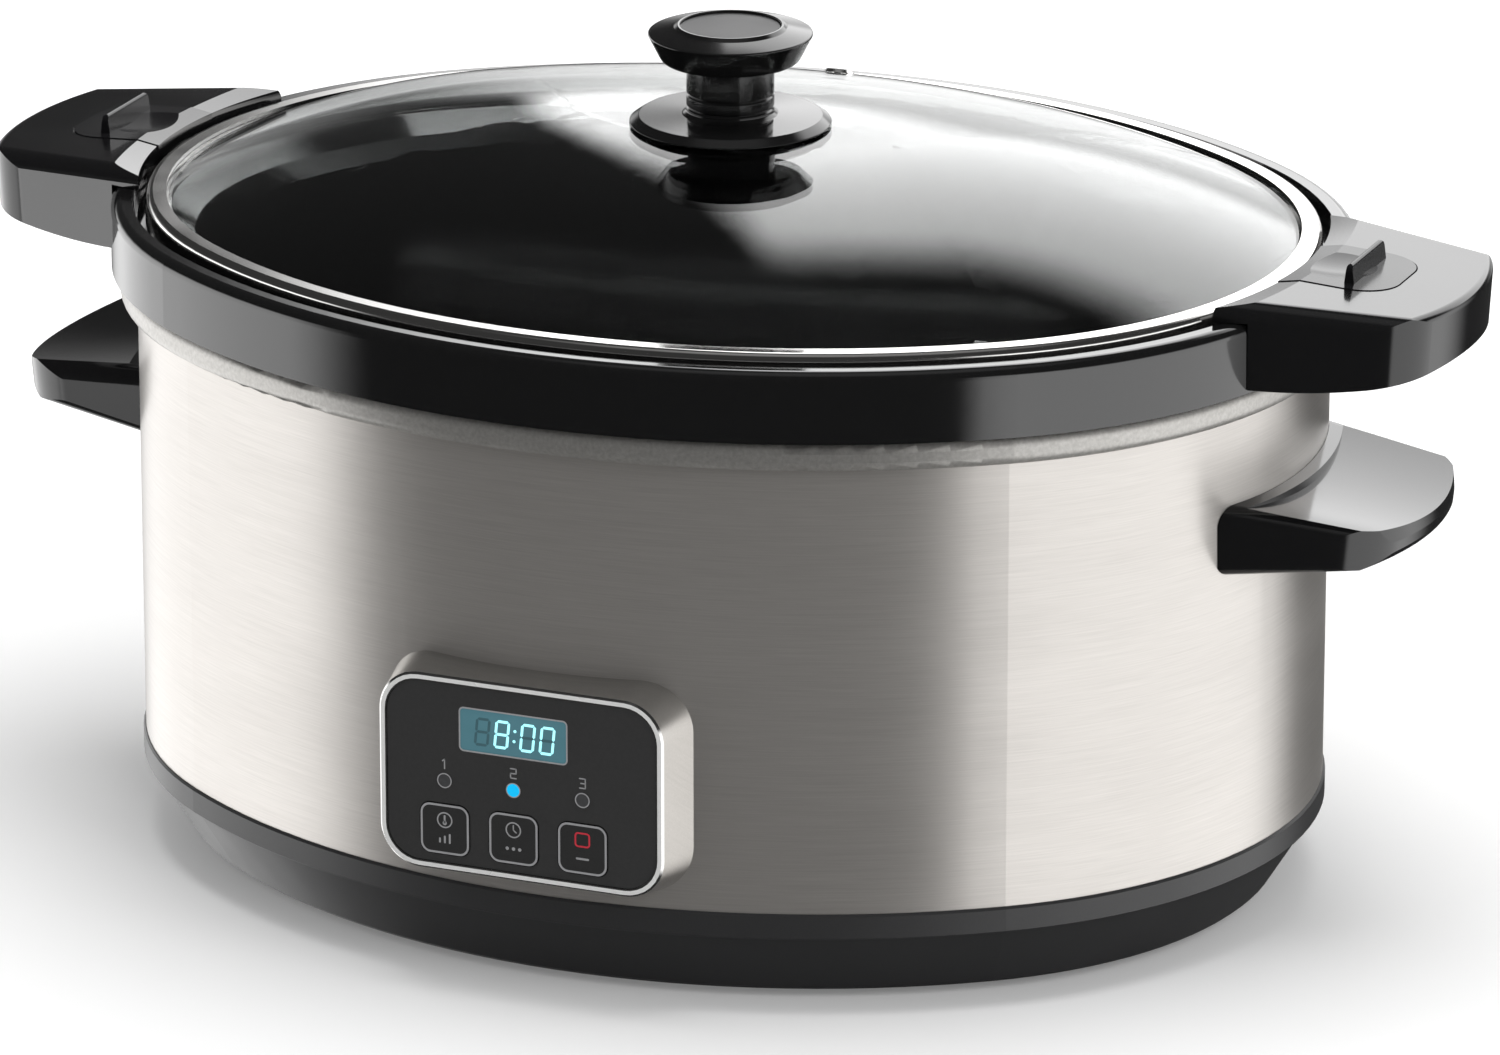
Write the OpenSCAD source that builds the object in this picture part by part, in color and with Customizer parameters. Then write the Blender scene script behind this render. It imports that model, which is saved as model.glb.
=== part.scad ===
// Slow cooker: an oval steel body on a black skirt, a lift-out ceramic pot, a
// latching glass lid and a control panel with three keys.
// Millimetres, +Z up, panel facing -Y, origin on the floor under the middle of
// the oval.  Sections named "section" are drawn as [offset from the oval, height].

/* [Body] */
// Plan radius of the oval's rounded ends
end_r = 125.5; // [124:0.5:127]
// Oval step: the end arcs are centred three steps out, the side arcs four steps back
oval_step = 16.5; // [16:0.5:17]
// Height of the seam between the skirt and the steel
seam_z = 30.5; // [29:0.5:32]
// Height of the plain steel wall above the seam
wall_h = 130.5; // [126:0.5:134]
// Height of the rolled bead on top of the steel
bead_h = 8.5; // [7.5:0.5:10]
// How far the rolled bead stands out from the steel
bead_out = 4.9; // [4:0.1:6]
// Thickness of the steel sheet
sheet_t = 0.8; // [0.6:0.1:1]
// Air gap between the steel body and the heating liner
liner_gap = 8.4; // [8:0.2:9]

/* [Skirt and feet] */
// How far the skirt's band stands out from the steel
band_out = 0.7; // [0.4:0.1:1.2]
// Height of the skirt's band
band_h = 7.4; // [6:0.2:9]
// How far the skirt tapers in towards the floor
skirt_in = 13; // [11:0.5:15]
// Wall thickness of the plastic skirt
skirt_t = 2.4; // [2:0.1:3]
// Height of the rubber feet under the skirt
foot_h = 3; // [2.5:0.5:4]
// Radius of each rubber foot
foot_r = 9; // [7:0.5:11]

/* [Pot] */
// Height of the pot's rim band
rim_h = 20.6; // [19:0.2:22]
// How far the pot's rim stands out from the steel
rim_out = 7.3; // [6.6:0.1:8]
// Wall thickness of the pot
pot_t = 7.5; // [6.5:0.25:8.5]
// Thickness of the pot's floor
pot_floor_t = 8; // [7:0.5:10]
// Clearance between the pot and the liner
pot_gap = 1.5; // [1:0.25:1.75]
// Height of the liner's floor above the ground
liner_floor_z = 56.5; // [54:0.5:60]

/* [Grips and latches] */
// How far the pot's grips reach out from the steel
grip_reach = 50; // [48:1:54]
// Radius of the outer corners of the pot's grips
grip_corner_r = 18.45; // [16.4:0.41:20.5]
// Height of the grips above the rim
grip_rise = 6.2; // [5.8:0.1:7]
// Width of the sliding latches
latch_w = 36; // [32:1:38]
// How far a latch slides in over the lid
latch_travel = 7; // [5:0.5:7]
// Clearance around moving parts
run_gap = 0.3; // [0.2:0.05:0.4]

/* [Lid] */
// Height of the glass dome above its edge
dome_h = 25; // [22:1:30]
// Thickness of the lid's glass
glass_t = 4; // [3.2:0.2:4.4]
// Radius of the knob's lower disc
knob_base_r = 29.3; // [26:0.5:32]
// Radius of the knob's cap
knob_cap_r = 23.8; // [21:0.5:27]
// Height of the knob above the glass
knob_h = 28.5; // [26:0.5:31]

/* [Handles] */
// How far the body handles reach out from the steel
handle_reach = 41; // [38:0.5:43]
// Height of the top of the body handles
handle_top_z = 135.5; // [130:0.5:140]
// Height of the body handles where they meet the steel
handle_h = 20.5; // [18:0.5:22]

/* [Panel] */
// Width of the panel's front
panel_w = 86; // [84:1:90]
// Height of the panel's front
panel_h = 57.6; // [56:0.4:60]
// Height of the middle of the panel
panel_z = 66.2; // [64:0.2:70]
// How far the panel stands out from the steel
panel_out = 9.2; // [8.8:0.2:9.8]
// Corner radius of the panel's front
panel_r = 12; // [10:0.5:14]
// Width of each key
key_w = 14.75; // [14:0.25:16]
// Distance between the middles of the keys
key_pitch = 20.9; // [20:0.1:21.5]
// How far a key travels when pressed
key_travel = 0.8; // [0.5:0.1:0.8]
// Bore of the cord gland
gland_bore = 7.2; // [6.5:0.1:8]

/* [Hidden] */
$fn = 96;
// The oval's four arcs meet on lines with a slope of 4 in 3, so they run smoothly
// together.  Cuts that clear the whole body run out by a few times "far".
end_x = 3 * oval_step;
far = 60;
side_y = 4 * oval_step;
side_r = end_r + 5 * oval_step;
body_a = end_r + end_x;
body_b = side_r - side_y;
bead_z = seam_z + wall_h;
bead_top = bead_z + bead_h;
liner_d = -sheet_t - liner_gap;
liner_in = liner_d - sheet_t;
liner_r = 24;
band_t = 1.8;
core_d = -62;
rim_bot = bead_top + run_gap;
rim_top = rim_bot + rim_h;
pot_d = liner_in - pot_gap;
pot_z = liner_floor_z + pot_gap;
pot_in = pot_d - pot_t;
pot_in_z = pot_z + pot_floor_t;
seat_z = rim_top - 5.8;
seat_d = -0.3;
lid_z = seat_z + 0.4;
ring_d = -2.7;
ring_w = 6;
ring_h = 7.6;
ring_t = 1.1;
ring_top = lid_z + ring_h;
glass_edge_d = ring_d - ring_w + 0.7;
glass_edge_z = ring_top - 1.5;
dome_top = glass_edge_z + dome_h;
flange_t = 3.6;
dome_c = end_r + glass_edge_d;
dome_r = (dome_c * dome_c + dome_h * dome_h) / (2 * dome_h);
seal_t = 0.5;
cap_h = 9.2;
vent_x = -5;
vent_y = 95;
skirt_d = -skirt_in;
foot_x = 95;
foot_y = 68;
stud_x = 96;
stud_y = 42;
stud_z = 16;
lug_z = rim_bot + 5.8;
lug_h = 8.5;
lug_x = body_a + rim_out - 4;
lug_end = body_a + grip_reach - 13;
lug_half_w = 33;
grip_top = rim_top + grip_rise;
latch_z = ring_top + run_gap + 0.1;
latch_t = grip_top - latch_z;
latch_d = -1;
latch_end = body_a + 29.5;
ridge_x = body_a + 17;
ridge_z = grip_top - 1.2;
deck_fall = 3.5;
handle_fall = 6;
stem_x = body_a + 18;
stem_l = 6;
front_y = -(body_b + panel_out);
fascia_y = front_y + 0.3;
fascia_t = 1.6;
layout_x = -2.3;
lcd_w = 32.4;
lcd_h = 12.6;
lcd_z = panel_z + panel_h / 2 - 14.9;
lamp_z = panel_z - 2.1;
lamp_r = 2.1;
key_z = panel_z - panel_h / 2 + 12.3;
switch_h = 1.3;
panel_screw_x = panel_w / 2 - 13;
column_r = 2.8;
board_y = front_y + 6.2;
board_t = 1.6;
box_y = front_y + 15.2;
gland_z = 45;

// ---- shared shapes ----------------------------------------------------------

// Plan of the region that one end arc fills, and of the one that a side arc fills.
module end_wedge() {
    polygon([[end_x, 0], [end_x + 3 * far, -4 * far], [end_x + 3 * far, 4 * far]]);
}

module side_wedge() {
    polygon([[-end_x, 0], [end_x, 0], [end_x + 3 * far, 4 * far],
             [-end_x - 3 * far, 4 * far]]);
}

// Sweeps a section around the oval: two end arcs and two flatter side arcs.  What
// would lie past an end arc's own axis is left off.
module sweep_oval() {
    union() {
        for (turn = [0, 180])
            rotate([0, 0, turn]) {
                intersection() {
                    translate([end_x, 0, 0])
                        rotate_extrude()
                            intersection() {
                                translate([end_r, 0])
                                    children();
                                square([4 * far, 8 * far]);
                            }
                    linear_extrude(8 * far)
                        end_wedge();
                }
                intersection() {
                    translate([0, -side_y, 0])
                        rotate_extrude()
                            translate([side_r, 0])
                                children();
                    linear_extrude(8 * far)
                        side_wedge();
                }
            }
    }
}

// The oval itself, grown outwards by d.
module oval(d = 0) {
    for (turn = [0, 180])
        rotate(turn) {
            intersection() {
                translate([end_x, 0])
                    circle(r = end_r + d);
                end_wedge();
            }
            intersection() {
                translate([0, -side_y])
                    circle(r = side_r + d);
                side_wedge();
            }
        }
}

// A flat oval plate between two heights.
module oval_plate(d, z, h) {
    translate([0, 0, z])
        linear_extrude(h)
            oval(d);
}

// A rectangle with rounded corners, centred on the origin.
module rounded_rect(w, h, r) {
    square([w - 2 * r, h], center = true);
    square([w, h - 2 * r], center = true);
    for (x = [-1, 1], y = [-1, 1])
        translate([x * (w / 2 - r), y * (h / 2 - r)])
            circle(r = r);
}

// A rounded block standing on the panel: drawn in X and Z, running back from y.
module panel_block(x, y, z, w, h, r, depth) {
    translate([x, y + depth, z])
        rotate([90, 0, 0])
            linear_extrude(depth)
                rounded_rect(w, h, r);
}

// A round bar along Y, running back from y.
module panel_bar(x, y, z, r, depth) {
    translate([x, y + depth, z])
        rotate([90, 0, 0])
            cylinder(r = r, h = depth);
}

// A cross-head screw: head below, shank above, standing on z = 0.
module cross_screw(head_r, head_h, shank_r, shank_l) {
    difference() {
        union() {
            cylinder(r = head_r, h = head_h);
            cylinder(r = shank_r, h = head_h + shank_l);
        }
        for (turn = [0, 90])
            rotate([0, 0, turn])
                translate([-head_r * 0.6, -0.5, -0.1])
                    cube([head_r * 1.2, 1, head_h * 0.6]);
    }
}

// Half of an outline that juts out along +X: a bowed end of radius bow, a
// round corner centred on c, and a straight side from the point t to the point s.
module jut_outline(x_out, bow, corner, c, t, s) {
    o = [x_out - bow, 0];
    out = [o[0] + 1.5 * (c[0] - o[0]), 1.5 * c[1]];
    for (side = [0, 1])
        mirror([0, side]) {
            intersection() {
                translate(o)
                    circle(r = bow);
                polygon([o, [out[0], 0], out]);
            }
            intersection() {
                translate(c)
                    circle(r = corner);
                polygon([c, out, [t[0] + 3 * (t[0] - c[0]), t[1] + 3 * (t[1] - c[1])]]);
            }
            polygon([[s[0], 0], o, c, t, s]);
        }
}

// Section of a bar with its two upper edges rounded by t.
module arched(half_w, h, t) {
    translate([-half_w, 0])
        square([2 * half_w, h - t]);
    translate([t - half_w, 0])
        square([2 * half_w - 2 * t, h]);
    for (y = [-1, 1])
        translate([y * (half_w - t), h - t])
            circle(r = t);
}

// Tips a jut down by an angle, about a level line across it at x and z.
module tipped(x, z, angle) {
    translate([x, 0, z])
        rotate([0, angle, 0])
            translate([-x, 0, -z])
                children();
}

// A tall blank for a jut with its upper edges rounded: by r_side along the sides,
// which pass through the point "edge" and close in by "turn" degrees, and by r_end
// round the bowed end.
module rounded_blank(x_out, bow, edge, turn, h, r_side, r_end) {
    intersection() {
        for_each_side(edge, turn, h, r_side, 0);
        for_each_side(edge, turn, h, r_side, 1);
        translate([x_out - bow, 0, 0])
            rotate_extrude() {
                square([bow, h - r_end]);
                square([bow - r_end, h]);
                translate([bow - r_end, h - r_end])
                    circle(r = r_end);
            }
    }
}

// A long bar with a rounded upper edge, along one side of a jut.
module for_each_side(edge, turn, h, r, side) {
    mirror([0, side, 0])
        translate([edge[0], edge[1], 0])
            rotate([0, 0, -turn])
                translate([60, -100, 0])
                    rotate([90, 0, -90])
                        linear_extrude(160)
                            arched(100, h, r);
}

// ---- skirt, feet and floor --------------------------------------------------

module skirt_section() {
    floor_z = foot_h + skirt_t;
    low_z = seam_z - band_h;
    difference() {
        polygon([[core_d, foot_h], [skirt_d - 0.8, foot_h], [skirt_d + 0.4, foot_h + 1],
                 [-1.2, low_z - 0.6], [band_out - 0.4, low_z - 0.2], [band_out, low_z + 0.3],
                 [band_out, seam_z - 0.7], [band_out - 0.5, seam_z], [-3, seam_z],
                 [-3, low_z + 1.2], [skirt_d - 1.6, floor_z], [core_d, floor_z]]);
        translate([-sheet_t - 0.1, seam_z - 1.1])
            square([sheet_t + 0.2, 2]);
    }
}

module skirt() {
    color("#1b1b1c")
        difference() {
            union() {
                sweep_oval()
                    skirt_section();
                oval_plate(core_d + 1, foot_h, skirt_t);
                for (x = [-stud_x, stud_x], y = [-stud_y, stud_y])
                    translate([x, y, foot_h])
                        cylinder(r = 6.5, h = stud_z - foot_h);
                for (x = [-62, 18], y = [-78, -26])
                    translate([x, y, foot_h])
                        cylinder(r = 3.2, h = 11 - foot_h);
            }
            for (x = [-stud_x, stud_x], y = [-stud_y, stud_y])
                translate([x, y, 0]) {
                    cylinder(r = 5, h = foot_h + 6);
                    cylinder(r = 2.1, h = stud_z + 1);
                }
            for (x = [-foot_x, foot_x], y = [-foot_y, foot_y])
                translate([x, y, 0])
                    cylinder(r = 3.5, h = 12);
            for (x = [-40, 40], row = [-3:3])
                translate([x, 40 + row * 9, foot_h + skirt_t / 2])
                    cube([46, 3.2, skirt_t + 2], center = true);
        }
}

module rubber_feet() {
    color("#2a2a2a")
        for (x = [-foot_x, foot_x], y = [-foot_y, foot_y])
            translate([x, y, 0]) {
                cylinder(r1 = foot_r - 0.8, r2 = foot_r, h = foot_h);
                cylinder(r = 3.5, h = foot_h + skirt_t + 1.5);
            }
}

module skirt_screws() {
    color("#9a9a9a")
        for (x = [-stud_x, stud_x], y = [-stud_y, stud_y])
            translate([x, y, foot_h + 3.4])
                cross_screw(4, 2.6, 1.9, 14);
}

// ---- steel body and heating parts ---------------------------------------------

module bead_shape(t) {
    r = 3 - t;
    translate([0, bead_z + t])
        square([bead_out - 3, bead_h - 2 * t]);
    translate([0, bead_z + 3])
        square([bead_out - t, bead_h - 6]);
    for (z = [bead_z + 3, bead_top - 3])
        translate([bead_out - 3, z])
            circle(r = r);
}

module shell_section() {
    difference() {
        union() {
            translate([-sheet_t, seam_z - 1])
                square([sheet_t, wall_h + bead_h + 1]);
            translate([liner_d, bead_top - sheet_t])
                square([1 - liner_d, sheet_t]);
            intersection() {
                bead_shape(0);
                translate([-0.1, bead_z])
                    square([bead_out + 1, bead_h]);
            }
        }
        intersection() {
            bead_shape(sheet_t);
            translate([0, bead_z])
                square([bead_out + 1, bead_h]);
        }
    }
}

module handle_screw_places() {
    for (turn = [-13, 13])
        translate([end_x, 0, handle_top_z - 10.5])
            rotate([0, 0, turn])
                translate([end_r, 0, 0])
                    rotate([0, 90, 0])
                        children();
}

module outer_shell() {
    color("#b9b4ad")
        difference() {
            sweep_oval()
                shell_section();
            panel_block(0, -body_b - 2, panel_z, panel_w - 7, panel_h - 7, panel_r - 3.5, 14);
            translate([0, body_b + 4, gland_z])
                rotate([90, 0, 0])
                    cylinder(r = gland_bore / 2 + 3, h = 10);
            for (side = [0, 1])
                mirror([side, 0, 0])
                    handle_screw_places()
                        translate([0, 0, -4])
                            cylinder(r = 2, h = 8);
        }
}

module liner_section() {
    top = bead_top - sheet_t - 0.1;
    difference() {
        union() {
            translate([core_d, liner_floor_z - sheet_t + liner_r])
                square([liner_d - core_d, top - liner_floor_z + sheet_t - liner_r]);
            translate([core_d, liner_floor_z - sheet_t])
                square([liner_d - liner_r - core_d, liner_r + 1]);
            translate([liner_d - liner_r, liner_floor_z - sheet_t + liner_r])
                circle(r = liner_r);
            translate([liner_d - 1, top - sheet_t])
                square([-2 - liner_d, sheet_t]);
        }
        translate([core_d - 20, liner_floor_z + liner_r - sheet_t])
            square([liner_in - core_d + 20, 200]);
        translate([core_d - 20, liner_floor_z])
            square([liner_d - liner_r - core_d + 20, liner_r]);
        translate([liner_d - liner_r, liner_floor_z - sheet_t + liner_r])
            circle(r = liner_r - sheet_t);
    }
}

module heating_liner() {
    color("#8d8f92")
        difference() {
            union() {
                sweep_oval()
                    liner_section();
                oval_plate(core_d + 1, liner_floor_z - sheet_t, sheet_t);
            }
            translate([0, 0, liner_floor_z - 5])
                cylinder(r = 8.2, h = 10);
        }
}

module liner_studs() {
    color("#a9abad")
        for (x = [-stud_x, stud_x], y = [-stud_y, stud_y])
            translate([x, y, stud_z + 0.1])
                difference() {
                    cylinder(r = 4, h = liner_floor_z - sheet_t - stud_z - 0.1);
                    translate([0, 0, -1])
                        cylinder(r = 1.9, h = 11);
                }
}

module heater_band() {
    color("#c8b894")
        difference() {
            sweep_oval()
                translate([liner_d + 0.1, liner_floor_z + 26])
                    square([band_t, 34]);
            translate([-4, 0, liner_floor_z + 20])
                cube([8, body_b + 20, 50]);
        }
}

module heater_terminals() {
    color("#b8bcc0")
        for (turn = [-2.6, 2.6])
            translate([0, -side_y, liner_floor_z + 43])
                rotate([0, 0, turn])
                    translate([0, side_r + liner_d + band_t + 0.15, 0])
                        rotate([-90, 0, 0]) {
                            cylinder(r = 2.6, h = 1.2);
                            cylinder(r = 1.4, h = 4.2);
                        }
}

module temperature_sensor() {
    color("#c9cbcd")
        translate([0, 0, liner_floor_z - 12]) {
            cylinder(r = 8, h = 12.6);
            cylinder(r = 3, h = 13);
            translate([0, 0, 1])
                cylinder(r = 10.5, h = 10);
        }
}

module thermal_fuse() {
    color("#d8c9a0")
        translate([34, 30, liner_floor_z - sheet_t - 5.2])
            rotate([0, 90, 0]) {
                cylinder(r = 5, h = 22, center = true);
                cylinder(r = 1, h = 44, center = true);
            }
}

// ---- body handles -----------------------------------------------------------

// Plan of a body handle: its sides close in by 11 in 60 towards the bowed end.
module handle_outline(x_out) {
    corner = 24.4;
    bow = 62.5 + corner;
    c = [x_out - bow + 60, 17.5];
    t = [c[0] + 4.4, c[1] + 24];
    jut_outline(x_out, bow, corner, c, t, [t[0] - 60, t[1] + 11]);
}

// The handle's top falls a little outward and its underside rises, both with
// rounded edges, and a shallow trough runs out over the top.
module body_handle() {
    x_out = body_a + handle_reach;
    low = handle_top_z - handle_h;
    edge = [x_out - 22.5, 41.55];
    hollow = 350;
    difference() {
        intersection() {
            tipped(body_a - 8, handle_top_z, handle_fall)
                intersection() {
                    translate([0, 0, low - 10])
                        linear_extrude(handle_h + 20)
                            handle_outline(x_out);
                    translate([0, 0, low - 20])
                        rounded_blank(x_out, 86.9, edge, 10.39, handle_h + 20, 6, 3);
                }
            tipped(body_a - 8, low, -handle_fall)
                translate([0, 0, low])
                    mirror([0, 0, 1])
                        translate([0, 0, -handle_h - 20])
                            rounded_blank(x_out, 86.9, edge + [0, 0.4], 10.39,
                                          handle_h + 20, 6, 5);
        }
        oval_plate(0.1, low - 20, handle_h + 40);
        difference() {
            tipped(body_a - 8, handle_top_z, handle_fall)
                translate([body_a - 30, 0, handle_top_z + hollow - 2.4])
                    rotate([0, 90, 0])
                        cylinder(r = hollow, h = 100, $fn = 360);
            oval_plate(4, low, handle_h + 20);
        }
        handle_screw_places()
            cylinder(r = 1.6, h = 14);
    }
}

module body_handle_right() {
    color("#121212")
        body_handle();
}

module body_handle_left() {
    color("#121212")
        mirror([1, 0, 0])
            body_handle();
}

module body_handle_screws() {
    color("#9a9a9a")
        for (side = [0, 1])
            mirror([side, 0, 0])
                handle_screw_places()
                    translate([0, 0, -sheet_t - 2.3])
                        cross_screw(3.6, 2.2, 1.6, 13);
}

// ---- control panel ----------------------------------------------------------

// Section of the bezel: [outward from the front outline, forward of its face].
module bezel_section() {
    depth = panel_out + 6;
    polygon([[-2.3, 0], [-0.6, 0], [0, -0.6], [3.2, -depth], [0.9, -depth],
             [-1.4, -3.4], [-1.4, -2.1], [-2.3, -2.1]]);
}

module panel_bezel() {
    long = [panel_w - 2 * panel_r, panel_h - 2 * panel_r];
    color("#c4c4c2")
        difference() {
            translate([0, front_y, panel_z])
                rotate([90, 0, 0])
                    for (turn = [0, 180])
                        rotate([0, 0, turn]) {
                            for (flip = [0, 1])
                                mirror([flip, 0, 0])
                                    translate([long[0] / 2, long[1] / 2, 0])
                                        rotate_extrude(angle = 90)
                                            translate([panel_r, 0])
                                                bezel_section();
                            translate([0, long[1] / 2, 0])
                                rotate([90, 0, 90])
                                    translate([0, 0, -long[0] / 2])
                                        linear_extrude(long[0])
                                            translate([panel_r, 0])
                                                bezel_section();
                            translate([long[0] / 2, long[1] / 2, 0])
                                rotate([90, 0, 0])
                                    linear_extrude(long[1])
                                        translate([panel_r, 0])
                                            bezel_section();
                        }
            oval_plate(0.05, panel_z - 50, 100);
        }
}

module panel_screw_places() {
    for (x = [-1, 1])
        translate([x * panel_screw_x, 0, panel_z])
            children();
}

module panel_fascia() {
    color("#17181a") {
        difference() {
            panel_block(0, fascia_y, panel_z, panel_w - 4.8, panel_h - 4.8, panel_r - 2.4,
                        fascia_t);
            panel_block(layout_x, fascia_y - 1, lcd_z, lcd_w, lcd_h, 1.2, fascia_t + 2);
            for (i = [-1:1]) {
                panel_bar(layout_x + i * key_pitch, fascia_y - 1, lamp_z, lamp_r, fascia_t + 2);
                panel_block(layout_x + i * key_pitch, fascia_y - 1, key_z,
                            key_w + 2 * run_gap, key_w + 2 * run_gap, 3 + run_gap, fascia_t + 2);
            }
        }
        // columns that the panel's screws bite in
        panel_screw_places()
            difference() {
                panel_bar(0, fascia_y + fascia_t - 0.4, 0, column_r,
                          board_y - fascia_y - fascia_t + 0.4);
                panel_bar(0, fascia_y + fascia_t + 0.6, 0, 1.5, 20);
            }
    }
}

module display_window() {
    color("#3f6f78")
        panel_block(layout_x, fascia_y + 0.2, lcd_z, lcd_w, lcd_h, 1.2, fascia_t - 0.2);
}

module display_module() {
    color("#2c4a50")
        panel_block(layout_x, fascia_y + fascia_t, lcd_z, lcd_w + 4, lcd_h + 4, 0.8,
                    board_y - fascia_y - fascia_t);
}

module indicator_lamps() {
    color("#7d8288")
        for (i = [-1:1]) {
            panel_bar(layout_x + i * key_pitch, fascia_y - 0.2, lamp_z, lamp_r, fascia_t + 0.2);
            panel_bar(layout_x + i * key_pitch, fascia_y + fascia_t, lamp_z, 1.5,
                      board_y - fascia_y - fascia_t);
        }
}

// A key: its face in the fascia's window, a lip behind it and a short pusher.
module key(place) {
    x = layout_x + place * key_pitch;
    back = fascia_y + fascia_t + run_gap;
    pusher = board_y - switch_h - key_travel - 0.1 - back;
    color("#232427") {
        panel_block(x, fascia_y - 0.3, key_z, key_w, key_w, 3, back - fascia_y + 0.9);
        panel_block(x, back, key_z, key_w + 2, key_w + 2, 3.6, 0.8);
        panel_bar(x, back, key_z, 2, pusher);
    }
}

module temperature_key() {
    key(-1);
}

module time_key() {
    key(0);
}

module stop_key() {
    key(1);
}

module key_switches() {
    color("#8a8c90")
        for (i = [-1:1])
            difference() {
                panel_block(layout_x + i * key_pitch, board_y - switch_h, key_z, 6, 6, 0.6,
                            switch_h);
                panel_bar(layout_x + i * key_pitch, board_y - 2, key_z, 1.6, 1);
            }
}

module control_board() {
    color("#1f5a35")
        difference() {
            panel_block(0, board_y, panel_z, panel_w - 12, panel_h - 12, panel_r - 6, board_t);
            panel_screw_places()
                panel_bar(0, board_y - 1, 0, 1.7, board_t + 2);
        }
}

module panel_box() {
    wall = 1.6;
    inset = 7.6;
    color("#202123")
        difference() {
            union() {
                difference() {
                    panel_block(0, board_y - 1.2, panel_z, panel_w - inset, panel_h - inset,
                                panel_r - inset / 2, box_y - board_y + 1.2);
                    panel_block(0, board_y - 3, panel_z, panel_w - inset - 2 * wall,
                                panel_h - inset - 2 * wall, panel_r - inset / 2 - wall,
                                box_y - board_y + 3 - wall);
                }
                panel_screw_places()
                    panel_bar(0, board_y + board_t, 0, column_r, box_y - board_y - board_t);
            }
            panel_screw_places()
                panel_bar(0, board_y, 0, 1.7, box_y - board_y + 1);
        }
}

module panel_screws() {
    head_y = box_y + 1.9;
    tip_y = fascia_y + fascia_t + 1.2;
    color("#9a9a9a")
        panel_screw_places()
            translate([0, head_y, 0])
                rotate([90, 0, 0])
                    cross_screw(3, 1.8, 1.5, head_y - 1.8 - tip_y);
}

// ---- power parts and gland --------------------------------------------------

module power_board() {
    color("#2b6b3f")
        translate([-22, -52, 11])
            linear_extrude(1.6)
                rounded_rect(92, 64, 3);
}

module relay() {
    color("#2d5fa8")
        translate([-48, -62, 12.6])
            linear_extrude(15.5)
                rounded_rect(19, 15.5, 1);
}

module transformer() {
    color("#d3a52c")
        translate([-6, -44, 12.6]) {
            linear_extrude(22)
                rounded_rect(28, 22, 1);
            translate([0, 0, 4])
                linear_extrude(14)
                    rounded_rect(32, 30, 2);
        }
}

module fuse_holder() {
    color("#d9d9d9")
        translate([-52, -36, 12.6])
            difference() {
                linear_extrude(8)
                    rounded_rect(24, 9, 1);
                translate([0, 0, 5])
                    rotate([0, 90, 0])
                        cylinder(r = 2.6, h = 20, center = true);
            }
}

module cord_gland() {
    barrel = gland_bore / 2 + 2.9;
    color("#161616")
        translate([0, body_b + panel_out, gland_z])
            rotate([90, 0, 0])
                difference() {
                    union() {
                        cylinder(r1 = barrel - 1, r2 = barrel, h = 1);
                        translate([0, 0, 1])
                            cylinder(r = barrel, h = panel_out + 10);
                        translate([0, 0, panel_out - 4])
                            cylinder(r = barrel + 3.6, h = 3.9);
                        translate([0, 0, panel_out + 1.4])
                            cylinder(r = barrel + 2.4, h = 4);
                    }
                    translate([0, 0, -1])
                        cylinder(r = gland_bore / 2, h = panel_out + 14);
                }
}

// ---- pot, grips and latches --------------------------------------------------

// The rim's upright band, its rounded top and the ledge that the lid sits on.
module rim_section() {
    round_r = 3;
    translate([0, rim_bot + 0.8])
        square([rim_out, rim_h - round_r - 0.8]);
    translate([0, rim_bot])
        square([rim_out - 0.8, rim_h - round_r]);
    translate([0, rim_top - round_r - 1])
        square([rim_out - round_r, round_r + 1]);
    translate([rim_out - round_r, rim_top - round_r])
        circle(r = round_r);
    translate([pot_d - 1, rim_bot + 6])
        square([-pot_d + 2, rim_h - 6]);
}

module pot_section() {
    out_r = 24;
    in_r = 22;
    draft = 2.3;
    difference() {
        union() {
            rim_section();
            polygon([[core_d, pot_z + out_r], [pot_d - draft, pot_z + out_r],
                     [pot_d, rim_bot + 7], [core_d, rim_bot + 7]]);
            translate([core_d, pot_z])
                square([pot_d - draft - out_r - core_d, out_r + 1]);
            translate([pot_d - draft - out_r, pot_z + out_r])
                circle(r = out_r);
            polygon([[core_d, rim_bot + 6], [pot_d, rim_bot + 6], [pot_d, rim_top],
                     [core_d, rim_top]]);
        }
        polygon([[core_d - 20, pot_in_z + in_r], [pot_in - draft, pot_in_z + in_r],
                 [pot_in, rim_bot + 3], [pot_in + 1.5, rim_bot + 9], [-11, seat_z],
                 [seat_d, seat_z], [1.3, rim_top + 0.01], [1.3, rim_top + 5],
                 [core_d - 20, rim_top + 5]]);
        translate([core_d - 20, pot_in_z])
            square([pot_in - draft - in_r - core_d + 20, in_r + 1]);
        translate([pot_in - draft - in_r, pot_in_z + in_r])
            circle(r = in_r);
    }
}

module lug_holes() {
    for (y = [-22, 22])
        translate([body_a + 27, y, 0])
            children();
}

// An ear of the pot that one grip is screwed to.
module pot_lug() {
    difference() {
        translate([0, 0, lug_z])
            linear_extrude(lug_h)
                translate([(lug_x + lug_end) / 2, 0])
                    rounded_rect(lug_end - lug_x, 2 * lug_half_w, 6);
        lug_holes()
            translate([0, 0, lug_z - 1])
                cylinder(r = 2.3, h = lug_h + 2);
        oval_plate(rim_out - 2, lug_z - 1, lug_h + 2);
    }
}

module pot() {
    color("#0c0c0d")
        union() {
            sweep_oval()
                pot_section();
            oval_plate(core_d + 1, pot_z, pot_floor_t);
            for (side = [0, 1])
                mirror([side, 0, 0])
                    pot_lug();
        }
}

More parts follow.
